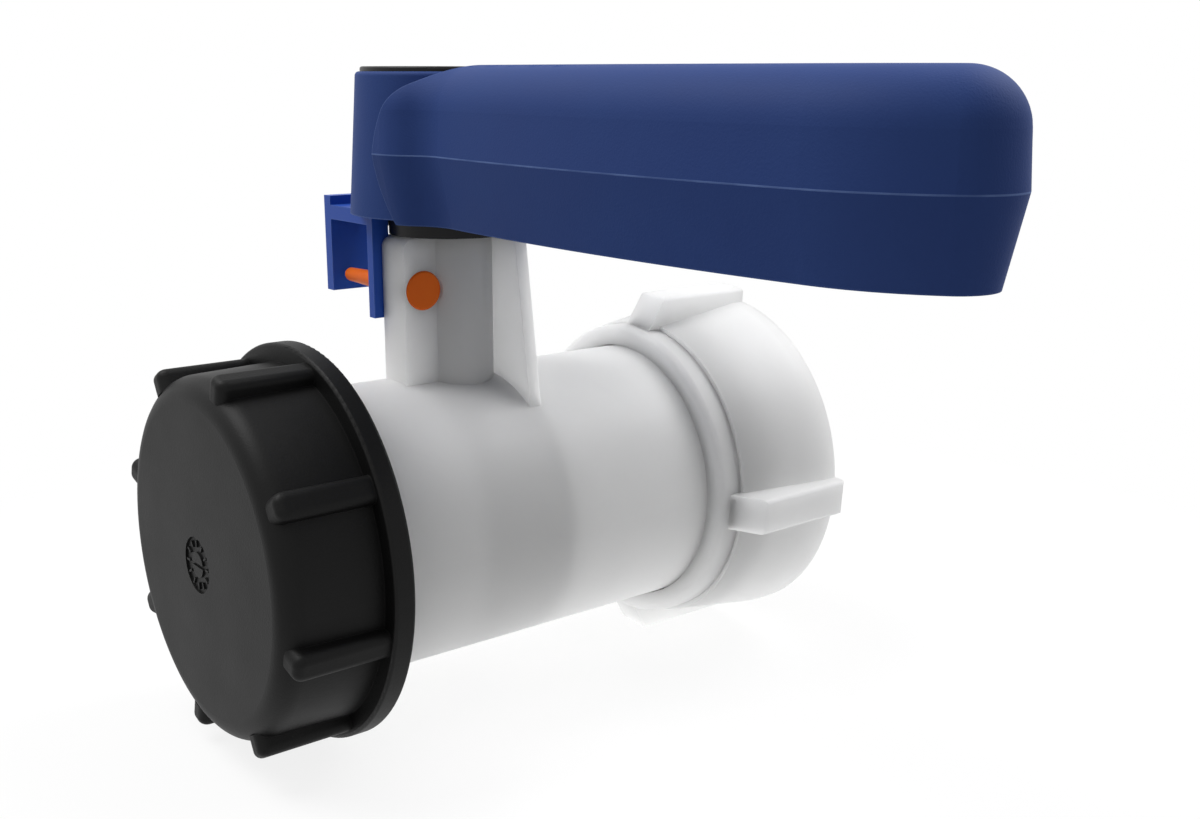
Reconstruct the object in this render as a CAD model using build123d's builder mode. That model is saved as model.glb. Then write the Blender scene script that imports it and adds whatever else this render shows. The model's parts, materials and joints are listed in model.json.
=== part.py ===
from build123d import *
import math
import os

os.makedirs("parts", exist_ok=True)

# Butterfly valve for a bulk container, in millimetres
# Origin: centre of the inlet mouth. +Y goes into the container, -Y to the outlet,
# +X is where the closed lever points, +Z is up the stem.

# Clearances
running_gap = 0.3
shaft_gap = 0.08
seat_gap = 0.05

# Pipe body
tube_radius = 27.3
tube_wall = 3.8
stem_station = 71.7
outlet_reach = 49.2

# Neck that carries the stem
neck_rise = 27.2
column_radius = 7.5
rib_front = 13.2
rib_half = 4.0
rib_corner = 2.0
wing_front = 6.6
wing_thickness = 2.6
wing_half_top = 11.2
wing_half_foot = 16.5
wing_foot_drop = 10.1
wing_corner = 1.2

# Union nut and the ring that holds it
nut_length = 29.4
nut_front_wall = 5.4
nut_hub_wall = 4.1
nut_hub_length = 5.5
nut_hub_round = 1.6
nut_waist_wall = 1.7
nut_rim_wall = 5.6
nut_rim_band = 3.0
nut_thread_space = 2.7
nut_relief_depth = 0.8
nut_thread_length = 15.0
lug_count = 4
lug_angle = -4.0
lug_height = 2.8
lug_width = 7.4
lug_length = 27.0
lug_lean = 4.0
lug_round = 0.8
snap_ring_width = 3.0
snap_ring_height = 2.1
snap_groove_depth = 1.2
snap_ring_split = 4.0
inlet_land = 3.0
inlet_gasket_thickness = 2.5

# Outlet cap
cap_thread_space = 3.4
cap_wall = 2.3
cap_draft = 0.5
cap_edge = 4.2
cap_top = 3.0
cap_height = 22.2
flange_width = 4.0
flange_thickness = 4.0
flange_round = 0.6
cap_rib_count = 8
cap_rib_angle = 30.0
cap_rib_width = 5.0
cap_rib_height = 3.0
cap_rib_length = 21.4
cap_rib_corner = 1.9
cap_rib_round = 1.5
outlet_gasket_thickness = 2.0
outlet_gasket_overlap = 1.0
dial_radius = 5.2
dial_depth = 0.4
dial_place = (-1.3, -0.9)

# Butterfly disc, its seat and its pivots
disc_thickness = 7.0
disc_hub_radius = 8.2
liner_thickness = 1.4
liner_length = 19.0
pivot_radius = 4.0
pivot_depth = 10.0
pivot_inset = 0.6
pivot_groove = 1.0
pivot_groove_cover = 0.2
disc_pin_radius = 1.5
disc_pin_depth = 10.2

# Stem
stem_radius = 5.0
stem_square = 7.0
stem_square_foot = 5.0
stem_shoulder = 3.2
collar_radius = 12.0
drive_square = 9.0
collar_height = 4.2
o_ring_section = 1.1
o_ring_squeeze = 0.03
o_ring_depths = (15.5, 7.5)

# Lever
lever_height = 27.0
lever_reach = 125.6
hub_radius = 19.1
hub_drop = 1.1
hub_draft = 4.0
hub_round = 0.8
ridge_start = 5.8
ridge_crest = 8.5
ridge_half = 20.2
dip_place = 21.0
dip_half = 16.0
barrel_place = 60.0
barrel_half = 17.8
shoulder_back = 21.6
shoulder_half = 15.2
nose_back = 3.3
nose_half = 7.2
crescent_height = 9.5
parting_height = 11.7
grip_skirt = 0.7
grip_lower_draft = 12.0
grip_upper_draft = 3.0
grip_round = 8.0
pocket_start = 26.0
pocket_end_back = 23.0
pocket_half = 9.5
pocket_roof = 9.0
pocket_count = 4
pocket_rib = 2.4
pocket_round = 2.5

# Lever screw, washer and cover plug
screw_radius = 2.9
screw_length = 16.0
screw_head_radius = 5.5
screw_head_height = 3.2
screw_slot = 1.2
screw_slot_depth = 1.4
washer_radius = 7.5
washer_thickness = 1.2
screw_well_radius = 8.2
screw_well_floor = 2.9
plug_radius = 16.4
plug_height = 0.9
plug_spigot = 1.2

# Lock bracket and the shear pin that seals the closed lever
lock_reach = 15.0
tab_thickness = 2.0
tab_inner_radius = 8.0
tab_drop = 15.5
arm_thickness = 2.8
guard_front = 12.2
guard_back = 3.0
guard_thickness = 2.5
guard_place = 28.4
guard_drop = 13.0
guard_rise = 1.8
pin_offset = 9.2
pin_drop = 9.7
pin_head_radius = 3.7
pin_head_depth = 2.2
pin_head_crown = 0.3
pin_shank_radius = 1.9
pin_tip_radius = 1.35
pin_tip_place = 25.0
pin_slot_gap = 0.5

# Places worked out from the sizes above
stem_y = -stem_station
outlet_face = stem_y - outlet_reach
cap_inner_face = outlet_face - outlet_gasket_thickness
cap_face = cap_inner_face - cap_top
cap_rear = cap_face + cap_height
nut_step = -nut_length + nut_front_wall
snap_front = nut_step + running_gap
snap_back = snap_front + snap_ring_width
inlet_face = snap_back + inlet_land
bore_radius = tube_radius - tube_wall
liner_radius = bore_radius + liner_thickness
stem_bore = stem_radius + shaft_gap
pivot_bore = pivot_radius + shaft_gap
disc_radius = bore_radius - running_gap
disc_pin_height = disc_radius - disc_pin_depth
stem_square_top = disc_radius - stem_shoulder
nut_collar_bore = tube_radius + running_gap
nut_hub_radius = nut_collar_bore + nut_hub_wall
nut_bore_radius = tube_radius + nut_thread_space
nut_relief_radius = nut_bore_radius + nut_relief_depth
nut_waist_radius = nut_relief_radius + nut_waist_wall
nut_rim_radius = nut_bore_radius + nut_rim_wall
lug_radius = nut_rim_radius + lug_height
snap_groove_radius = tube_radius - snap_groove_depth
snap_ring_radius = tube_radius + snap_ring_height
cap_bore_radius = tube_radius + cap_thread_space
cap_radius = cap_bore_radius + cap_wall
flange_radius = cap_radius + flange_width
cap_rib_radius = cap_radius + cap_rib_height
neck_height = tube_radius + neck_rise
wing_foot_height = tube_radius - wing_foot_drop
collar_bottom = neck_height + running_gap
lever_bottom = neck_height + collar_height
lever_top = lever_bottom + lever_height
hub_height = lever_height - hub_drop
hub_top = lever_bottom + hub_height
screw_stack = screw_well_floor + washer_thickness + screw_head_height + running_gap + plug_spigot
drive_height = hub_height - screw_stack
drive_top = lever_bottom + drive_height
well_floor = drive_top + screw_well_floor
grip_bottom = lever_bottom - grip_skirt
parting = lever_bottom + parting_height
tab_foot = neck_height - tab_drop
guard_foot = neck_height - guard_drop
guard_top = lever_bottom + guard_rise
tab_side = rib_half + running_gap
pin_height = neck_height - pin_drop
pin_y = stem_y - pin_offset
stem_axis = Plane(origin=(0, stem_y, 0))


# Body: one moulding of pipe, outlet spigot, stem neck and inlet end
with BuildPart() as valve_body:
    with BuildSketch(stem_axis):
        Circle(column_radius)
    extrude(amount=neck_height)
    with BuildSketch(Plane(origin=(0, stem_y, 0), x_dir=(0, 1, 0), z_dir=(1, 0, 0))) as front_rib:
        with BuildLine():
            Polyline((0, 0), (-rib_front, 0), (-rib_front, neck_height), (0, neck_height), close=True)
        make_face()
        fillet(front_rib.vertices().group_by(Axis.Y)[-1].sort_by(Axis.X)[0], radius=rib_corner)
    extrude(amount=rib_half, both=True)
    with BuildSketch(Plane.XZ.offset(-(stem_y + wing_front + wing_thickness))) as wings:
        with BuildLine():
            Polyline(
                (-wing_half_foot, 0),
                (-wing_half_foot, wing_foot_height),
                (-wing_half_top, neck_height),
                (wing_half_top, neck_height),
                (wing_half_foot, wing_foot_height),
                (wing_half_foot, 0),
                close=True,
            )
        make_face()
        fillet(wings.vertices().group_by(Axis.Y)[-1], radius=wing_corner)
    extrude(amount=wing_thickness)
    with BuildSketch(Plane.XZ.offset(-(stem_y + wing_front + wing_thickness))):
        with Locations((pin_shank_radius + pin_slot_gap - pin_offset, pin_height)):
            Rectangle(wing_half_foot, 2 * pin_shank_radius + 2 * pin_slot_gap, align=(Align.MAX, Align.CENTER))
    extrude(amount=wing_thickness, mode=Mode.SUBTRACT)
    with BuildSketch(Plane.XZ.offset(-inlet_face)):
        Circle(tube_radius)
    extrude(amount=inlet_face - outlet_face)
    with BuildSketch(Plane.XZ.offset(-inlet_face)):
        Circle(bore_radius)
    extrude(amount=inlet_face - outlet_face, mode=Mode.SUBTRACT)
    with BuildSketch(Plane.XZ.offset(-stem_y - liner_length / 2)):
        Circle(liner_radius)
    extrude(amount=liner_length, mode=Mode.SUBTRACT)
    with BuildSketch(Plane.XZ.offset(-snap_back)):
        Circle(tube_radius + 1)
        Circle(snap_groove_radius, mode=Mode.SUBTRACT)
    extrude(amount=snap_ring_width, mode=Mode.SUBTRACT)
    with BuildSketch(stem_axis):
        Circle(stem_bore)
    extrude(amount=neck_height, mode=Mode.SUBTRACT)
    with BuildSketch(stem_axis):
        Circle(pivot_radius + seat_gap)
    extrude(amount=-tube_radius, mode=Mode.SUBTRACT)
    with BuildSketch(Plane(origin=(0, pin_y, pin_height), x_dir=(0, 1, 0), z_dir=(1, 0, 0))):
        Circle(pin_shank_radius)
    extrude(amount=rib_half, both=True, mode=Mode.SUBTRACT)
    with Locations(Location((rib_half - pin_head_depth / 2, pin_y, pin_height), (0, 90, 0))):
        Cone(pin_shank_radius, pin_head_radius, pin_head_depth, mode=Mode.SUBTRACT)
    with BuildSketch(Plane(origin=(rib_half, pin_y, pin_height), x_dir=(0, 1, 0), z_dir=(1, 0, 0))):
        Circle(pin_head_radius)
    extrude(amount=column_radius - rib_half, mode=Mode.SUBTRACT)
valve_body.part.label = "valve_body"
export_step(valve_body.part, "parts/valve_body.step")


# Split ring in the inlet groove, which the nut pulls against
with BuildPart() as nut_retaining_ring:
    with BuildSketch(Plane.XZ.offset(-snap_back)):
        Circle(snap_ring_radius)
        Circle(snap_groove_radius + seat_gap, mode=Mode.SUBTRACT)
        with Locations((0, -snap_ring_radius)):
            Rectangle(snap_ring_split, snap_ring_radius, mode=Mode.SUBTRACT)
    extrude(amount=snap_ring_width)
nut_retaining_ring.part.label = "nut_retaining_ring"
export_step(nut_retaining_ring.part, "parts/nut_retaining_ring.step")


# Flat gasket between the inlet end and the container spout
with BuildPart() as inlet_gasket:
    with BuildSketch(Plane.XZ.offset(-inlet_face - inlet_gasket_thickness)):
        Circle(snap_ring_radius)
        Circle(bore_radius, mode=Mode.SUBTRACT)
    extrude(amount=inlet_gasket_thickness)
inlet_gasket.part.label = "inlet_gasket"
export_step(inlet_gasket.part, "parts/inlet_gasket.step")


# One lug of the union nut, with its leaning front
with BuildPart() as nut_lug:
    with BuildSketch(Plane.XY):
        with BuildLine():
            Polyline(
                (nut_relief_radius + 1, 0),
                (nut_relief_radius + 1, -lug_length),
                (lug_radius, -lug_length + lug_lean),
                (lug_radius, 0),
                close=True,
            )
        make_face()
    extrude(amount=lug_width / 2, both=True)
    fillet(nut_lug.faces().sort_by(Axis.X)[-1].edges(), radius=lug_round)

# Union nut: front hub, bell and rim, with grip lugs
with BuildPart() as union_nut:
    with BuildSketch(Plane.XY):
        with BuildLine():
            Polyline(
                (nut_collar_bore, -nut_length),
                (nut_hub_radius, -nut_length),
                (nut_hub_radius, -nut_length + nut_hub_length),
                (nut_waist_radius, -nut_length + nut_hub_length),
                (nut_rim_radius, -nut_rim_band),
                (nut_rim_radius, 0),
                (nut_bore_radius, 0),
                (nut_bore_radius, -nut_thread_length),
                (nut_relief_radius, -nut_thread_length),
                (nut_relief_radius, nut_step),
                (nut_collar_bore, nut_step),
                close=True,
            )
        make_face()
    revolve(axis=Axis.Y)
    hub_edge = union_nut.edges().filter_by(GeomType.CIRCLE).group_by(Axis.Y)[0].sort_by(SortBy.RADIUS)[-1]
    fillet(hub_edge, radius=nut_hub_round)
    for index in range(lug_count):
        add(nut_lug.part, rotation=(0, -lug_angle - index * 360 / lug_count, 0))
union_nut.part.label = "union_nut"
export_step(union_nut.part, "parts/union_nut.step")


# One grip rib of the outlet cap, rounded over its top and front end
cap_rib_base = cap_bore_radius + 1
with BuildPart() as cap_rib:
    rib_middle = cap_rear - cap_rib_length / 2
    with BuildSketch(Plane(origin=(cap_rib_base, rib_middle, 0), x_dir=(0, 1, 0), z_dir=(1, 0, 0))):
        RectangleRounded(cap_rib_length, cap_rib_width, cap_rib_corner)
    extrude(amount=cap_rib_radius - cap_rib_base)
    fillet(cap_rib.faces().sort_by(Axis.X)[-1].edges(), radius=cap_rib_round)

# Outlet cap: shallow cup with a flange at its open end
with BuildPart() as outlet_cap:
    with BuildSketch(Plane.XY) as cap_section:
        with BuildLine():
            Polyline(
                (0, cap_face),
                (cap_radius, cap_face),
                (cap_radius + cap_draft, cap_rear - flange_thickness),
                (flange_radius, cap_rear - flange_thickness),
                (flange_radius, cap_rear),
                (cap_bore_radius, cap_rear),
                (cap_bore_radius, cap_inner_face),
                (0, cap_inner_face),
                close=True,
            )
        make_face()
        fillet(cap_section.vertices().sort_by_distance((cap_radius, cap_face, 0))[0], radius=cap_edge)
        flange_corners = cap_section.vertices().group_by(Axis.X)[-1]
        fillet(flange_corners, radius=flange_round)
    revolve(axis=Axis.Y)
    for index in range(cap_rib_count):
        add(cap_rib.part, rotation=(0, -cap_rib_angle - index * 360 / cap_rib_count, 0))
    with BuildSketch(Plane.XZ.offset(-cap_face - dial_depth)):
        with Locations(dial_place):
            Circle(dial_radius)
    extrude(amount=dial_depth, mode=Mode.SUBTRACT)
outlet_cap.part.label = "outlet_cap"
export_step(outlet_cap.part, "parts/outlet_cap.step")


# Flat ring that the cap presses on the spigot
with BuildPart() as outlet_gasket:
    with BuildSketch(Plane.XZ.offset(-outlet_face)):
        Circle(cap_bore_radius - running_gap)
        Circle(bore_radius - outlet_gasket_overlap, mode=Mode.SUBTRACT)
    extrude(amount=outlet_gasket_thickness)
outlet_gasket.part.label = "outlet_gasket"
export_step(outlet_gasket.part, "parts/outlet_gasket.step")


# Rubber liner that the closed disc seals in, with openings for stem and pivot
with BuildPart() as seat_liner:
    with BuildSketch(Plane.XZ.offset(-stem_y - liner_length / 2)):
        Circle(liner_radius - seat_gap)
        Circle(bore_radius, mode=Mode.SUBTRACT)
    extrude(amount=liner_length)
    with BuildSketch(stem_axis):
        Circle(stem_radius + running_gap)
    extrude(amount=tube_radius, mode=Mode.SUBTRACT)
    with BuildSketch(stem_axis):
        Circle(pivot_radius + running_gap)
    extrude(amount=-tube_radius, mode=Mode.SUBTRACT)
seat_liner.part.label = "seat_liner"
export_step(seat_liner.part, "parts/seat_liner.step")


# Disc with a spherical rim and a hub along the stem
with BuildPart() as butterfly_disc:
    with BuildSketch(Plane.XZ.offset(-stem_y - disc_thickness / 2)):
        Circle(disc_radius)
    extrude(amount=disc_thickness)
    with BuildSketch(stem_axis):
        Circle(disc_hub_radius)
    extrude(amount=disc_radius, both=True)
    with Locations((0, stem_y, 0)):
        Sphere(disc_radius, mode=Mode.INTERSECT)
    with BuildSketch(stem_axis.offset(stem_square_foot)):
        Rectangle(stem_square + 2 * seat_gap, stem_square + 2 * seat_gap)
    extrude(amount=disc_radius, mode=Mode.SUBTRACT)
    with BuildSketch(stem_axis.offset(stem_square_top)):
        Circle(stem_radius + seat_gap)
    extrude(amount=disc_radius, mode=Mode.SUBTRACT)
    with BuildSketch(stem_axis.offset(-disc_radius)):
        Circle(pivot_bore)
    extrude(amount=pivot_depth, mode=Mode.SUBTRACT)
    with BuildSketch(Plane.XZ.offset(-stem_y - disc_hub_radius)):
        with Locations((0, disc_pin_height)):
            Circle(disc_pin_radius)
    extrude(amount=2 * disc_hub_radius, mode=Mode.SUBTRACT)
butterfly_disc.part.label = "butterfly_disc"
export_step(butterfly_disc.part, "parts/butterfly_disc.step")


# Cross pin through disc hub and stem
with BuildPart() as disc_pin:
    with BuildSketch(Plane.XZ.offset(-stem_y - disc_hub_radius + 0.5)):
        with Locations((0, disc_pin_height)):
            Circle(disc_pin_radius)
    extrude(amount=2 * disc_hub_radius - 1)
disc_pin.part.label = "disc_pin"
export_step(disc_pin.part, "parts/disc_pin.step")


# Lower pivot pressed into the body wall, with a groove for its ring
pivot_foot = -tube_radius + pivot_inset
pivot_top = -disc_radius + pivot_depth - running_gap
pivot_ring_height = -liner_radius - pivot_groove_cover - pivot_groove / 2
with BuildPart() as pivot_pin:
    with BuildSketch(stem_axis.offset(pivot_foot)):
        Circle(pivot_radius)
    extrude(amount=pivot_top - pivot_foot)
    with BuildSketch(stem_axis.offset(pivot_ring_height - pivot_groove / 2)):
        Circle(pivot_radius + 1)
        Circle(pivot_radius - pivot_groove / 2, mode=Mode.SUBTRACT)
    extrude(amount=pivot_groove, mode=Mode.SUBTRACT)
    chamfer(pivot_pin.faces().sort_by(Axis.Z)[-1].edges(), length=0.5)
pivot_pin.part.label = "pivot_pin"
export_step(pivot_pin.part, "parts/pivot_pin.step")


# Ring in the pivot's groove
with BuildPart() as pivot_o_ring:
    with BuildSketch(Plane.XZ.offset(-stem_y)):
        with Locations((pivot_radius - pivot_groove / 4, pivot_ring_height)):
            Rectangle(pivot_groove / 2, pivot_groove - 2 * seat_gap)
    revolve(axis=Axis((0, stem_y, 0), (0, 0, 1)))
pivot_o_ring.part.label = "pivot_o_ring"
export_step(pivot_o_ring.part, "parts/pivot_o_ring.step")


# Stem: square foot in the disc, round shank with ring grooves, thrust collar, square drive
groove_radius = stem_radius + o_ring_squeeze - 2 * o_ring_section
with BuildPart() as stem:
    with BuildSketch(stem_axis.offset(stem_square_foot)):
        Rectangle(stem_square, stem_square)
    extrude(amount=stem_square_top - stem_square_foot)
    with BuildSketch(stem_axis.offset(stem_square_top)):
        Circle(stem_radius)
    extrude(amount=lever_bottom - stem_square_top)
    with BuildSketch(stem_axis.offset(collar_bottom)):
        Circle(collar_radius)
    extrude(amount=lever_bottom - collar_bottom)
    with BuildSketch(stem_axis.offset(lever_bottom)):
        Rectangle(drive_square, drive_square)
    extrude(amount=drive_height)
    with BuildSketch(stem_axis.offset(drive_top)):
        Circle(screw_radius)
    extrude(amount=-screw_length, mode=Mode.SUBTRACT)
    for depth in o_ring_depths:
        with BuildSketch(stem_axis.offset(neck_height - depth - o_ring_section)):
            Circle(stem_radius + 1)
            Circle(groove_radius, mode=Mode.SUBTRACT)
        extrude(amount=2 * o_ring_section, mode=Mode.SUBTRACT)
    with BuildSketch(Plane.XZ.offset(-stem_y - disc_hub_radius)):
        with Locations((0, disc_pin_height)):
            Circle(disc_pin_radius)
    extrude(amount=2 * disc_hub_radius, mode=Mode.SUBTRACT)
stem.part.label = "stem"
export_step(stem.part, "parts/stem.step")


# Two rings that seal the stem in the neck
with BuildPart() as stem_o_rings:
    with BuildSketch(Plane.XZ.offset(-stem_y)):
        for depth in o_ring_depths:
            with Locations((groove_radius + o_ring_section, neck_height - depth)):
                Circle(o_ring_section)
    revolve(axis=Axis((0, stem_y, 0), (0, 0, 1)))
stem_o_rings.part.label = "stem_o_rings"
export_step(stem_o_rings.part, "parts/stem_o_rings.step")


# Grip of the lever: thumb ridges, barrel sides and round nose, drafted both ways from the parting height
with BuildPart() as grip:
    with BuildSketch(stem_axis.offset(parting)) as grip_plan:
        with BuildLine():
            crest = Vector(ridge_crest, -ridge_half)
            dip = Vector(dip_place, -dip_half)
            shoulder_start = (lever_reach - shoulder_back, -shoulder_half)
            nose_start = (lever_reach - nose_back, -nose_half)
            barrel = ThreePointArc(dip, (barrel_place, -barrel_half), shoulder_start)
            dip_turn = math.atan2((barrel % 0).Y, (barrel % 0).X) / 4
            slope_angle = math.atan2((dip - crest).Y, (dip - crest).X) - dip_turn
            slope_length = (dip - crest).length / (2 * math.cos(dip_turn))
            slope = crest + Vector(slope_length * math.cos(slope_angle), slope_length * math.sin(slope_angle))
            Polyline((0, 0), (0, -ridge_half), crest)
            ridge_top = TangentArc(crest, slope, tangent=(1, 0))
            TangentArc(slope, dip, tangent=ridge_top % 1)
            shoulder = TangentArc(shoulder_start, nose_start, tangent=barrel % 1)
            mirror(about=Plane.XZ)
            nose_turn = shoulder % 1
            nose_radius = nose_half / nose_turn.X
            nose_tip = lever_reach - nose_back + nose_radius * (1 - nose_turn.Y)
            ThreePointArc(nose_start, (nose_tip, 0), (lever_reach - nose_back, nose_half))
        make_face()
    extrude(amount=lever_top - parting, taper=grip_upper_draft)
    top_edges = grip.faces().sort_by(Axis.Z)[-1].edges().filter_by(
        lambda edge: abs((edge @ 0.5).Y - stem_y) > 1 or (edge @ 0.5).X > dip_place
    )
    fillet(top_edges, radius=grip_round)
    extrude(grip_plan.sketch, amount=grip_bottom - parting, taper=grip_lower_draft)
    with BuildSketch(Plane.XZ.offset(-stem_y)):
        with BuildLine():
            crescent_middle = lever_bottom + crescent_height
            crescent_radius = lever_top - crescent_middle
            crescent_centre = ridge_start + crescent_radius
            foot_start = crescent_centre - math.sqrt(crescent_radius**2 - (crescent_middle - grip_bottom) ** 2)
            crescent = ThreePointArc(
                (foot_start, grip_bottom),
                (ridge_start, crescent_middle),
                (crescent_centre, lever_top),
            )
            Polyline(
                crescent @ 1,
                (nose_tip + 1, lever_top),
                (nose_tip + 1, grip_bottom),
                crescent @ 0,
            )
        make_face()
    extrude(amount=ridge_half + 1, both=True, mode=Mode.INTERSECT)

# Lever: round hub and hollow grip in one moulding
with BuildPart() as lever:
    with BuildSketch(stem_axis.offset(lever_bottom)):
        Circle(hub_radius)
    extrude(amount=hub_height, taper=hub_draft)
    fillet(lever.faces().sort_by(Axis.Z)[-1].edges(), radius=hub_round)
    add(grip.part)
    with BuildSketch(stem_axis.offset(grip_bottom)):
        Circle(collar_radius + running_gap)
    extrude(amount=grip_skirt, mode=Mode.SUBTRACT)
    with BuildSketch(stem_axis.offset(hub_top)):
        Circle(plug_radius + running_gap)
    extrude(amount=lever_height, mode=Mode.SUBTRACT)
    with BuildSketch(stem_axis.offset(well_floor)):
        Circle(screw_well_radius)
    extrude(amount=lever_height, mode=Mode.SUBTRACT)
    with BuildSketch(stem_axis.offset(lever_bottom)):
        Circle(screw_radius + running_gap)
    extrude(amount=lever_height, mode=Mode.SUBTRACT)
    with BuildSketch(stem_axis.offset(lever_bottom)):
        Rectangle(drive_square + 2 * seat_gap, drive_square + 2 * seat_gap)
    extrude(amount=drive_height, mode=Mode.SUBTRACT)
    pocket_pitch = (lever_reach - pocket_end_back - pocket_start + pocket_rib) / pocket_count
    with BuildSketch(stem_axis.offset(grip_bottom)) as pockets:
        for index in range(pocket_count):
            with Locations((pocket_start + index * pocket_pitch + (pocket_pitch - pocket_rib) / 2, 0)):
                Rectangle(pocket_pitch - pocket_rib, 2 * pocket_half)
        fillet(pockets.vertices(), radius=pocket_round)
    extrude(amount=lever_top - pocket_roof - grip_bottom, mode=Mode.SUBTRACT)
lever.part.label = "lever"
export_step(lever.part, "parts/lever.step")


# Washer and screw that hold the lever down on the stem
with BuildPart() as screw_washer:
    with BuildSketch(stem_axis.offset(well_floor)):
        Circle(washer_radius)
        Circle(screw_radius + running_gap, mode=Mode.SUBTRACT)
    extrude(amount=washer_thickness)
screw_washer.part.label = "screw_washer"
export_step(screw_washer.part, "parts/screw_washer.step")

head_seat = well_floor + washer_thickness
with BuildPart() as lever_screw:
    with BuildSketch(stem_axis.offset(head_seat)):
        Circle(screw_radius)
    extrude(amount=-screw_length)
    with BuildSketch(stem_axis.offset(head_seat)):
        Circle(screw_head_radius)
    extrude(amount=screw_head_height)
    with BuildSketch(stem_axis.offset(head_seat + screw_head_height)):
        Rectangle(2 * screw_head_radius, screw_slot)
        Rectangle(screw_slot, 2 * screw_head_radius)
    extrude(amount=-screw_slot_depth, mode=Mode.SUBTRACT)
lever_screw.part.label = "lever_screw"
export_step(lever_screw.part, "parts/lever_screw.step")


# Plug that covers the screw well
with BuildPart() as hub_plug:
    with BuildSketch(stem_axis.offset(hub_top)):
        Circle(plug_radius)
    extrude(amount=plug_height)
    fillet(hub_plug.faces().sort_by(Axis.Z)[-1].edges(), radius=plug_height / 2)
    with BuildSketch(stem_axis.offset(hub_top)):
        Circle(screw_well_radius - seat_gap)
    extrude(amount=-plug_spigot)
hub_plug.part.label = "hub_plug"
export_step(hub_plug.part, "parts/hub_plug.step")


# Lock bracket under the hub: tab beside the neck rib, arm, and a guard in front of the pin's tip
with BuildPart() as lock_bracket:
    with BuildSketch(stem_axis.offset(lever_bottom)):
        with Locations((-guard_place, -guard_front)):
            Rectangle(guard_place - tab_side, guard_front - guard_back, align=(Align.MIN, Align.MIN))
    extrude(amount=-arm_thickness)
    with BuildSketch(stem_axis.offset(tab_foot)):
        with Locations((-tab_side, -lock_reach)):
            Rectangle(tab_thickness, lock_reach, align=(Align.MAX, Align.MIN))
        Circle(tab_inner_radius, mode=Mode.SUBTRACT)
    extrude(amount=lever_bottom - tab_foot)
    with BuildSketch(stem_axis.offset(guard_foot)):
        with Locations((-guard_place, -guard_front)):
            Rectangle(guard_thickness, guard_front - guard_back, align=(Align.MIN, Align.MIN))
    extrude(amount=guard_top - guard_foot)
    with BuildSketch(stem_axis.offset(neck_height)):
        Circle(collar_radius + running_gap)
    extrude(amount=lever_bottom - neck_height, mode=Mode.SUBTRACT)
    with BuildSketch(Plane(origin=(-tab_side, pin_y, pin_height), x_dir=(0, 1, 0), z_dir=(-1, 0, 0))):
        Circle(pin_shank_radius)
    extrude(amount=tab_thickness, mode=Mode.SUBTRACT)
lock_bracket.part.label = "lock_bracket"
export_step(lock_bracket.part, "parts/lock_bracket.step")


# Shear pin, parted where it breaks: head in the neck rib, tip in the lock bracket
with BuildPart() as seal_pin_head:
    with BuildSketch(Plane.XY.offset(pin_height)):
        with BuildLine():
            Polyline(
                (rib_half + pin_head_crown, pin_y),
                (-rib_half, pin_y),
                (-rib_half, pin_y + pin_shank_radius),
                (rib_half - pin_head_depth, pin_y + pin_shank_radius),
                (rib_half, pin_y + pin_head_radius),
                (rib_half + pin_head_crown, pin_y + pin_head_radius - pin_head_crown),
                close=True,
            )
        make_face()
    revolve(axis=Axis((0, pin_y, pin_height), (1, 0, 0)))
seal_pin_head.part.label = "seal_pin_head"
export_step(seal_pin_head.part, "parts/seal_pin_head.step")

with BuildPart() as seal_pin_tip:
    with BuildSketch(Plane.XY.offset(pin_height)):
        with BuildLine():
            tip_centre = -pin_tip_place + pin_tip_radius
            nose = ThreePointArc(
                (tip_centre, pin_y + pin_tip_radius),
                (tip_centre - pin_tip_radius / math.sqrt(2), pin_y + pin_tip_radius / math.sqrt(2)),
                (-pin_tip_place, pin_y),
            )
            Polyline(
                nose @ 1,
                (-tab_side, pin_y),
                (-tab_side, pin_y + pin_shank_radius),
                (-tab_side - tab_thickness, pin_y + pin_shank_radius),
                nose @ 0,
            )
        make_face()
    revolve(axis=Axis((0, pin_y, pin_height), (1, 0, 0)))
seal_pin_tip.part.label = "seal_pin_tip"
export_step(seal_pin_tip.part, "parts/seal_pin_tip.step")
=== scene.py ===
import json
import math

import bmesh
import bpy
from mathutils import Matrix, Vector


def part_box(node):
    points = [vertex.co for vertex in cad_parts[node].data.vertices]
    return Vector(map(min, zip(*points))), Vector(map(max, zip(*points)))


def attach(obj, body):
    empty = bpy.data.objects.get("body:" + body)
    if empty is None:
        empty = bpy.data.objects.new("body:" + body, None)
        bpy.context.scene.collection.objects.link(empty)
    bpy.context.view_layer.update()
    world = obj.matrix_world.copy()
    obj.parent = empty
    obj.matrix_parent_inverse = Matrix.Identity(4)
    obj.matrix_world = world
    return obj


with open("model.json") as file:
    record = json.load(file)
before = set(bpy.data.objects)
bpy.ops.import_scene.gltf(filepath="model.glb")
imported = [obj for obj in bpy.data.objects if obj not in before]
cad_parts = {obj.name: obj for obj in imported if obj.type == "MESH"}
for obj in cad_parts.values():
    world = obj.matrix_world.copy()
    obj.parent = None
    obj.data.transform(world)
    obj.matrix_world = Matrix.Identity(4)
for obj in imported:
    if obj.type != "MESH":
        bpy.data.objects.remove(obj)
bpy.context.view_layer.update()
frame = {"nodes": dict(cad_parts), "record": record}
nodes = frame["nodes"]
mounts = {mount["name"]: mount for mount in frame["record"]["mounts"]}

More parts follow.
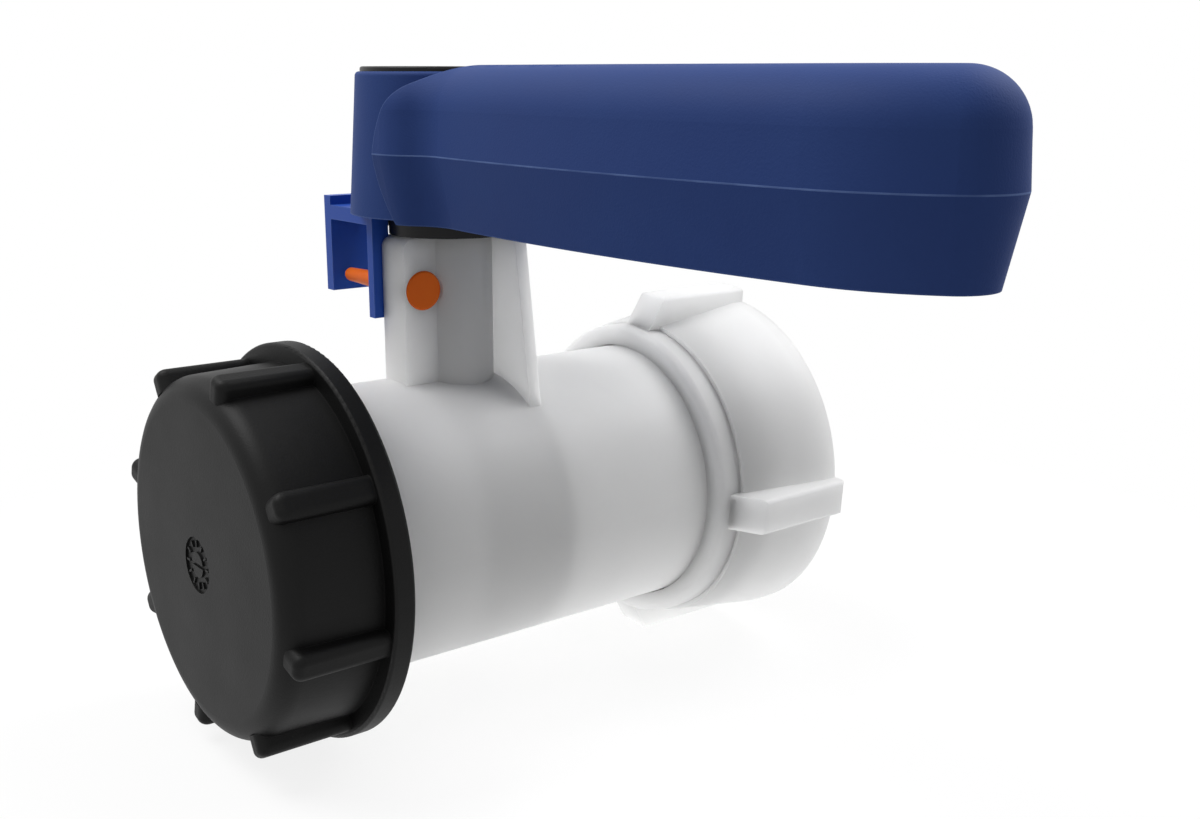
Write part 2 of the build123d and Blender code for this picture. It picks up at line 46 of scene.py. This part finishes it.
# Sizes of the valve in millimetres, some of them taken from the frame
MM = 0.001
STEM_Y = -71.7
PIPE_RADIUS = 27.3
CAP_BORE = 30.7
INLET_RADIUS = mounts["inlet_thread"]["dims"]["r_mm"]
INLET_LENGTH = mounts["inlet_thread"]["dims"]["length_mm"]
OUTLET_MOUTH = mounts["outlet_thread"]["pos_m"][1] / MM
CAP_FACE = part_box("outlet_cap")[0][1] / MM
HUB_RADIUS = 19.1
LEVER_PARTING = 70.4

# Coarse threads in millimetres. The foot is sunk in the wall, and the height stands off the wall.
# Starts and ends are counted from the outlet's mouth, the inset from both ends of the nut's thread
THREAD_PITCH = 6.0
THREAD_SUNK = 0.1
SPIGOT_THREAD = {"height": 1.6, "start": 2.4, "end": 15.4, "width": 3.4}
CAP_THREAD = {"height": 1.4, "start": 3.4, "end": 14.9, "width": 2.6}
NUT_THREAD = {"height": 1.7, "inset": 2.0, "width": 3.0}
# Steps to a turn and to a run-out, and half the crest as a share of the foot's width
THREAD_STEPS = 72
RUN_OUT_STEPS = 18
CREST_SHARE = 0.22

# Tick dial in the cap's face, sunk a little into the floor of its recess and below the face
DIAL_PLACE = (-1.3, -0.9)
DIAL_RADIUS = 5.2
DIAL_DEPTH = 0.4
DIAL_SINK = 0.05
TICK_COUNT = 12
TICK_WIDTH = 0.35
TICK_INNER = DIAL_RADIUS * 0.64
TICK_OUTER = DIAL_RADIUS * 0.88
BUTTON_RADIUS = DIAL_RADIUS * 0.45
BUTTON_STEPS = 25
SLOT_ANGLE = 8

# Surface of moulded plastic. The real grain is near 0.1 mm, and is drawn coarser so that it shows
CLOUD_MM = 14.0
CLOUD_DETAIL = 3.0
SMOOTH_GRAIN_MM = 0.5
MATT_GRAIN_MM = 0.35
GRAIN_DETAIL = 4.0
RELIEF_MM = 0.1
ROUGH_SPREAD = 0.05

# Parting line: half its width, its flecks, how far it stays clear of the hub, and its faintest share
SEAM_HALF_MM = 0.13
SEAM_FLECK_MM = 6.0
SEAM_CLEAR_MM = 0.2
SEAM_FAINT = 0.45
SEAM_TINT = "#5C74AA"

# Painted highlights on edges: their reach, and the turn of the surface, as a cosine, where they begin and
# are full
EDGE_MM = 0.5
EDGE_BEGIN = 0.97
EDGE_FULL = 0.75
EDGE_SAMPLES = 4

# Floor in millimetres. Its fades are shares of the way from its edge to its centre
FLOOR_HALF = 200
FLOOR_CENTRE_Y = -40
FLOOR_HEIGHT = -38.5
FLOOR_GLOW = 0.5
WHITE_FADE = 0.5
WHITE_NEAR = 0.7
SPILL_BEGIN = 0.45
SPILL_FULL = 0.9
SPILL_STRENGTH = 0.7

# Studio light: the side the fill comes from, its strength off that side and on it, the lamps' width
FILL_SIDE = (-0.62, -0.12, 0.78)
FILL_LOW = 0.3
FILL_HIGH = 0.42
LAMP_SIZE = 450
WHITE = (1, 1, 1, 1)

# Camera where the photograph was taken, in millimetres and degrees
CAMERA_PLACE = (224.865, -213.931, 84.290)
CAMERA_YAW = 51.568
CAMERA_TILT = 13.683
CAMERA_ROLL = -0.171
CAMERA_LENS = 41.374
CAMERA_SENSOR = 36.0


def linear(code):
    """sRGB hex to linear red, green, blue, alpha."""
    values = [int(code[i : i + 2], 16) / 255 for i in (1, 3, 5)]
    return [v / 12.92 if v <= 0.04045 else ((v + 0.055) / 1.055) ** 2.4 for v in values] + [1.0]


def add_node(tree, kind, sockets=None, **settings):
    """Adds a node: sockets maps its inputs to values or outputs, settings are its properties."""
    node = tree.nodes.new(kind)
    for key, value in settings.items():
        setattr(node, key, value)
    for key, value in (sockets or {}).items():
        if isinstance(value, bpy.types.NodeSocket):
            tree.links.new(value, node.inputs[key])
        else:
            node.inputs[key].default_value = value
    return node


def parting_line(tree, place, colour):
    """A pale, uneven line round the grip where the mould halves met. The hub has none."""
    height = add_node(tree, "ShaderNodeSeparateXYZ", {0: place}).outputs["Z"]
    above = add_node(
        tree, "ShaderNodeMath", {0: height, 1: LEVER_PARTING * MM}, operation="SUBTRACT"
    ).outputs[0]
    away = add_node(tree, "ShaderNodeMath", {0: above}, operation="ABSOLUTE").outputs[0]
    near = add_node(
        tree, "ShaderNodeMath", {0: away, 1: SEAM_HALF_MM * MM}, operation="LESS_THAN"
    ).outputs[0]
    flat = add_node(tree, "ShaderNodeVectorMath", {0: place, 1: (1, 1, 0)}, operation="MULTIPLY").outputs[0]
    stem_axis = (0, STEM_Y * MM, 0)
    reach = add_node(
        tree, "ShaderNodeVectorMath", {0: flat, 1: stem_axis}, operation="DISTANCE"
    ).outputs["Value"]
    hub_edge = (HUB_RADIUS + SEAM_CLEAR_MM) * MM
    off_hub = add_node(
        tree, "ShaderNodeMath", {0: reach, 1: hub_edge}, operation="GREATER_THAN"
    ).outputs[0]
    flecks = add_node(
        tree, "ShaderNodeTexNoise", {"Vector": place, "Scale": 1 / (SEAM_FLECK_MM * MM)}
    ).outputs["Fac"]
    depth = add_node(
        tree, "ShaderNodeMapRange",
        {"Value": flecks, "From Min": 0.35, "From Max": 0.65, "To Min": SEAM_FAINT, "To Max": 1.0},
    ).outputs["Result"]
    drawn = add_node(tree, "ShaderNodeMath", {0: near, 1: off_hub}, operation="MULTIPLY").outputs[0]
    share = add_node(tree, "ShaderNodeMath", {0: drawn, 1: depth}, operation="MULTIPLY").outputs[0]
    tones = {0: share, 6: colour, 7: linear(SEAM_TINT)}
    return add_node(tree, "ShaderNodeMix", tones, data_type="RGBA").outputs[2]


def painted_edge_highlight(tint, most):
    """Painted highlights on edges: the colour moves towards a paler tint where the surface turns sharply.
    """

    def mark(tree, place, colour):
        eased = add_node(
            tree, "ShaderNodeBevel", {"Radius": EDGE_MM * MM}, samples=EDGE_SAMPLES
        ).outputs[0]
        true = add_node(tree, "ShaderNodeNewGeometry").outputs["Normal"]
        match = add_node(
            tree, "ShaderNodeVectorMath", {0: eased, 1: true}, operation="DOT_PRODUCT"
        ).outputs["Value"]
        share = add_node(
            tree, "ShaderNodeMapRange",
            {"Value": match, "From Min": EDGE_BEGIN, "From Max": EDGE_FULL, "To Max": most},
        ).outputs["Result"]
        tones = {0: share, 6: colour, 7: linear(tint)}
        return add_node(tree, "ShaderNodeMix", tones, data_type="RGBA").outputs[2]

    return mark


def plastic(name, base, light, rough, grain_mm, relief, marks=(), sockets=None):
    """Moulded surface: two near tones in soft clouds, a fine grain, and marks drawn over the colour."""
    material = bpy.data.materials.new(name)
    material.use_nodes = True
    tree = material.node_tree
    shader = tree.nodes["Principled BSDF"]
    place = add_node(tree, "ShaderNodeTexCoord").outputs["Object"]
    clouds = add_node(
        tree, "ShaderNodeTexNoise",
        {"Vector": place, "Scale": 1 / (CLOUD_MM * MM), "Detail": CLOUD_DETAIL},
    ).outputs["Fac"]
    tones = {0: clouds, 6: linear(base), 7: linear(light)}
    colour = add_node(tree, "ShaderNodeMix", tones, data_type="RGBA").outputs[2]
    for mark in marks:
        colour = mark(tree, place, colour)
    tree.links.new(colour, shader.inputs["Base Color"])
    grain = add_node(
        tree, "ShaderNodeTexNoise",
        {"Vector": place, "Scale": 1 / (grain_mm * MM), "Detail": GRAIN_DETAIL},
    ).outputs["Fac"]
    bump = add_node(
        tree, "ShaderNodeBump", {"Height": grain, "Strength": relief, "Distance": RELIEF_MM * MM}
    )
    tree.links.new(bump.outputs["Normal"], shader.inputs["Normal"])
    spread = add_node(
        tree, "ShaderNodeMapRange",
        {"Value": clouds, "To Min": rough - ROUGH_SPREAD, "To Max": rough + ROUGH_SPREAD},
    )
    tree.links.new(spread.outputs["Result"], shader.inputs["Roughness"])
    for key, value in (sockets or {}).items():
        shader.inputs[key].default_value = value
    return material


# Natural polyethylene lets light in and spreads it far, which softens every step
milky = {"Subsurface Weight": 0.9, "Subsurface Radius": (0.016, 0.016, 0.016), "Subsurface Scale": 1.0}

# Milky white, slightly translucent, satin
hdpe_body = plastic(
    "moulded natural HDPE", "#F2F2F2", "#F8F8F7", 0.5, SMOOTH_GRAIN_MM, 0.12, sockets=milky
)
# The same plastic, a shade lighter
hdpe_nut = plastic(
    "moulded natural HDPE, nut", "#F4F4F3", "#FAFAF9", 0.5, SMOOTH_GRAIN_MM, 0.12, sockets=milky
)
# Near black, a grey sheen where light grazes it, and a painted grey highlight along its edges
black_cap = plastic(
    "moulded black PE", "#060606", "#0A0A0A", 0.5, MATT_GRAIN_MM, 0.35,
    marks=(painted_edge_highlight("#2C2C2C", 0.6),), sockets={"Specular IOR Level": 0.17},
)
# Near black, smoother
black_stem = plastic(
    "moulded black PP", "#101011", "#161617", 0.4, SMOOTH_GRAIN_MM, 0.2,
    sockets={"Specular IOR Level": 0.2},
)
# Dead matt black
rubber = plastic(
    "EPDM rubber", "#101010", "#171717", 0.75, MATT_GRAIN_MM, 0.3,
    sockets={"Specular IOR Level": 0.2},
)
# Dark blue with a fine grain, a painted pale highlight along its edges and a pale parting line
blue_lever = plastic(
    "moulded blue PP", "#233A74", "#2B447E", 0.66, MATT_GRAIN_MM, 0.35,
    marks=(painted_edge_highlight("#6A82B8", 0.55), parting_line), sockets={"Specular IOR Level": 0.18},
)
# Brighter, smoother blue, with a painted pale highlight along its edges
blue_lock = plastic(
    "moulded blue PE", "#2149A4", "#2A52AE", 0.4, SMOOTH_GRAIN_MM, 0.2,
    marks=(painted_edge_highlight("#5F80C8", 0.4),), sockets={"Specular IOR Level": 0.15},
)
# Warm orange, a little light passes into it
orange_pin = plastic(
    "moulded orange PP", "#E8620A", "#F07212", 0.45, SMOOTH_GRAIN_MM, 0.15,
    sockets={
        "Specular IOR Level": 0.2,
        "Subsurface Weight": 0.1,
        "Subsurface Radius": (0.002, 0.001, 0.0004),
    },
)
# Plain bright metal
steel = plastic("stainless steel", "#A9ABAD", "#BDBFC1", 0.3, MATT_GRAIN_MM, 0.1, sockets={"Metallic": 1.0})

FINISH = {
    "valve_body": hdpe_body,
    "nut_retaining_ring": hdpe_body,
    "butterfly_disc": hdpe_body,
    "union_nut": hdpe_nut,
    "outlet_cap": black_cap,
    "stem": black_stem,
    "pivot_pin": black_stem,
    "hub_plug": black_stem,
    "inlet_gasket": rubber,
    "outlet_gasket": rubber,
    "seat_liner": rubber,
    "pivot_o_ring": rubber,
    "stem_o_rings": rubber,
    "lever": blue_lever,
    "lock_bracket": blue_lock,
    "seal_pin_head": orange_pin,
    "seal_pin_tip": orange_pin,
    "disc_pin": steel,
    "lever_screw": steel,
    "screw_washer": steel,
}
for name, finish in FINISH.items():
    mesh = nodes[name].data
    mesh.materials.clear()
    mesh.materials.append(finish)


def solid(name, make, finish, body):
    """A new piece from a bmesh recipe, riding on a body."""
    mesh = bpy.data.meshes.new(name)
    bm = bmesh.new()
    make(bm)
    bmesh.ops.recalc_face_normals(bm, faces=bm.faces)
    bm.to_mesh(mesh)
    bm.free()
    mesh.materials.append(finish)
    piece = bpy.data.objects.new(name, mesh)
    bpy.context.scene.collection.objects.link(piece)
    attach(piece, body)


def thread(root, crest, start, end, width):
    """Recipe for a coarse thread about the pipe axis from start to end, run out into the wall at both."""

    def make(bm):
        turns = abs(end - start) / THREAD_PITCH
        steps = int(turns * THREAD_STEPS)
        flat = width * CREST_SHARE
        rows = []
        for i in range(steps + 1):
            share = i / steps
            angle = 2 * math.pi * turns * share
            height = min(1.0, i / RUN_OUT_STEPS, (steps - i) / RUN_OUT_STEPS)
            y = start + (end - start) * share
            top = root + (crest - root) * height
            section = [(root, -width / 2), (top, -flat), (top, flat), (root, width / 2)]
            row = []
            for radius, along in section:
                spot = Vector((radius * math.cos(angle), y + along, radius * math.sin(angle)))
                row.append(bm.verts.new(spot * MM))
            rows.append(row)
        for a, b in zip(rows, rows[1:]):
            for j in range(3):
                bm.faces.new((a[j], a[j + 1], b[j + 1], b[j]))
        bm.faces.new(rows[0])
        bm.faces.new(rows[-1])

    return make


# Threads on the outlet spigot, inside the cap and inside the nut
spigot = thread(
    PIPE_RADIUS - THREAD_SUNK,
    PIPE_RADIUS + SPIGOT_THREAD["height"],
    OUTLET_MOUTH + SPIGOT_THREAD["start"],
    OUTLET_MOUTH + SPIGOT_THREAD["end"],
    SPIGOT_THREAD["width"],
)
solid("outlet_thread", spigot, hdpe_body, "pipe")
cap_inside = thread(
    CAP_BORE + THREAD_SUNK,
    CAP_BORE - CAP_THREAD["height"],
    OUTLET_MOUTH + CAP_THREAD["start"],
    OUTLET_MOUTH + CAP_THREAD["end"],
    CAP_THREAD["width"],
)
solid("cap_thread", cap_inside, black_cap, "cap")
nut_inside = thread(
    INLET_RADIUS + THREAD_SUNK,
    INLET_RADIUS - NUT_THREAD["height"],
    NUT_THREAD["inset"] - INLET_LENGTH,
    -NUT_THREAD["inset"],
    NUT_THREAD["width"],
)
solid("nut_thread", nut_inside, hdpe_nut, "nut")


def tick_dial(bm):
    """Recipe for a ring of plain ticks round a slotted button, standing in the recess of the cap's face."""
    floor_y = CAP_FACE + DIAL_DEPTH + DIAL_SINK
    top_y = CAP_FACE + DIAL_SINK

    def raise_outline(outline):
        rows = []
        for y in (floor_y, top_y):
            spots = [Vector((DIAL_PLACE[0] + x, y, DIAL_PLACE[1] + z)) for x, z in outline]
            rows.append([bm.verts.new(spot * MM) for spot in spots])
        bm.faces.new(rows[0])
        bm.faces.new(rows[1])
        for i in range(len(outline)):
            j = (i + 1) % len(outline)
            bm.faces.new((rows[0][i], rows[0][j], rows[1][j], rows[1][i]))

    half = TICK_WIDTH / 2
    tick = ((-half, TICK_INNER), (half, TICK_INNER), (half, TICK_OUTER), (-half, TICK_OUTER))
    for i in range(TICK_COUNT):
        turn = Matrix.Rotation(2 * math.pi * i / TICK_COUNT, 2)
        raise_outline([turn @ Vector(corner) for corner in tick])
    for side in (-1, 1):
        arc = []
        for i in range(BUTTON_STEPS):
            angle = math.radians(SLOT_ANGLE + (180 - 2 * SLOT_ANGLE) * i / (BUTTON_STEPS - 1)) * side
            arc.append((BUTTON_RADIUS * math.cos(angle), BUTTON_RADIUS * math.sin(angle)))
        raise_outline(arc)


solid("cap_dial", tick_dial, black_cap, "cap")


def background_rays(tree):
    """1 for rays from the camera, in reflections and through glass, else 0."""
    path = add_node(tree, "ShaderNodeLightPath").outputs
    shown = path["Is Camera Ray"]
    for kind in ("Is Glossy Ray", "Is Transmission Ray"):
        both = {0: shown, 1: path[kind]}
        shown = add_node(tree, "ShaderNodeMath", both, operation="ADD", use_clamp=True).outputs[0]
    return shown


def white_paper():
    """Matt paper that shows as white with a faint shadow, and throws some light up under the pipe."""
    material = bpy.data.materials.new("white paper")
    material.use_nodes = True
    tree = material.node_tree
    tree.nodes.remove(tree.nodes["Principled BSDF"])
    sheet = add_node(tree, "ShaderNodeBsdfDiffuse", {"Color": linear("#C6C6C6")}).outputs[0]
    spot = add_node(tree, "ShaderNodeTexCoord").outputs["Object"]
    ball = add_node(
        tree, "ShaderNodeVectorMath", {0: spot, "Scale": 1 / (FLOOR_HALF * MM)}, operation="SCALE"
    ).outputs[0]
    near = add_node(
        tree, "ShaderNodeTexGradient", {"Vector": ball}, gradient_type="SPHERICAL"
    ).outputs["Fac"]

    glow = add_node(tree, "ShaderNodeEmission", {"Color": WHITE, "Strength": FLOOR_GLOW}).outputs[0]
    lit = add_node(tree, "ShaderNodeAddShader", {0: sheet, 1: glow}).outputs[0]
    white = add_node(tree, "ShaderNodeEmission", {"Color": WHITE, "Strength": 1.0}).outputs[0]
    share = add_node(
        tree, "ShaderNodeMapRange",
        {"Value": near, "From Max": WHITE_FADE, "To Min": 1.0, "To Max": WHITE_NEAR},
    ).outputs["Result"]
    seen = add_node(tree, "ShaderNodeMixShader", {0: share, 1: lit, 2: white}).outputs[0]

    strength = add_node(
        tree, "ShaderNodeMapRange",
        {"Value": near, "From Min": SPILL_BEGIN, "From Max": SPILL_FULL, "To Max": SPILL_STRENGTH},
    ).outputs["Result"]
    spill = add_node(tree, "ShaderNodeEmission", {"Color": WHITE, "Strength": strength}).outputs[0]
    under = add_node(tree, "ShaderNodeAddShader", {0: sheet, 1: spill}).outputs[0]

    look = add_node(tree, "ShaderNodeMixShader", {0: background_rays(tree), 1: under, 2: seen})
    tree.links.new(look.outputs[0], tree.nodes["Material Output"].inputs["Surface"])
    return material


# Plain pale floor under the valve
floor_mesh = bpy.data.meshes.new("floor")
bm = bmesh.new()
bmesh.ops.create_grid(bm, x_segments=2, y_segments=2, size=FLOOR_HALF * MM)
bm.to_mesh(floor_mesh)
bm.free()
floor_mesh.materials.append(white_paper())
floor = bpy.data.objects.new("floor", floor_mesh)
floor.location = (0, FLOOR_CENTRE_Y * MM, FLOOR_HEIGHT * MM)
bpy.context.scene.collection.objects.link(floor)


def studio_world():
    """White surroundings to the camera, and a pale light, a little stronger from above on the left."""
    world = bpy.data.worlds.new("studio")
    world.use_nodes = True
    tree = world.node_tree
    sky = add_node(tree, "ShaderNodeTexCoord").outputs["Generated"]
    facing = add_node(
        tree, "ShaderNodeVectorMath", {0: sky, 1: FILL_SIDE}, operation="DOT_PRODUCT"
    ).outputs["Value"]
    level = add_node(
        tree, "ShaderNodeMapRange", {"Value": facing, "To Min": FILL_LOW, "To Max": FILL_HIGH}
    ).outputs["Result"]
    fill = add_node(
        tree, "ShaderNodeBackground", {"Color": linear("#F8F8F8"), "Strength": level}
    ).outputs[0]
    white = add_node(tree, "ShaderNodeBackground", {"Color": WHITE, "Strength": 1.0}).outputs[0]
    look = add_node(tree, "ShaderNodeMixShader", {0: background_rays(tree), 1: fill, 2: white})
    tree.links.new(look.outputs[0], tree.nodes["World Output"].inputs["Surface"])
    return world


def lamp(name, place, target, power):
    """Soft square studio lamp aimed at a point, in millimetres and watts."""
    light = bpy.data.lights.new(name, "AREA")
    light.energy = power
    light.size = LAMP_SIZE * MM
    holder = bpy.data.objects.new(name, light)
    holder.location = Vector(place) * MM
    holder.rotation_euler = (Vector(target) - Vector(place)).to_track_quat("-Z", "Y").to_euler()
    bpy.context.scene.collection.objects.link(holder)


bpy.context.scene.world = studio_world()
lamp("top", place=(-230, -390, 690), target=(20, -60, 20), power=4.0)
lamp("rear", place=(160, 360, 560), target=(10, -40, 10), power=2.8)

# The camera looks ahead along its yaw and tilt, and is rolled about that line
yaw, tilt, roll = (math.radians(angle) for angle in (CAMERA_YAW, CAMERA_TILT, CAMERA_ROLL))
level_ahead = Vector((-math.sin(yaw), math.cos(yaw), 0))
ahead = level_ahead * math.cos(tilt) - Vector((0, 0, math.sin(tilt)))
right = Vector((math.cos(yaw), math.sin(yaw), 0))
down = ahead.cross(right)
across = right * math.cos(roll) + down * math.sin(roll)
below = down * math.cos(roll) - right * math.sin(roll)
lens = bpy.data.cameras.new("camera")
lens.sensor_width = CAMERA_SENSOR
lens.lens = CAMERA_LENS
lens.clip_start = 0.01
lens.clip_end = 20
camera = bpy.data.objects.new("camera", lens)
aim = Matrix((across, -below, -ahead)).transposed().to_4x4()
camera.matrix_world = Matrix.Translation(Vector(CAMERA_PLACE) * MM) @ aim
bpy.context.scene.collection.objects.link(camera)
bpy.context.scene.camera = camera
bpy.context.scene.view_settings.view_transform = "Standard"
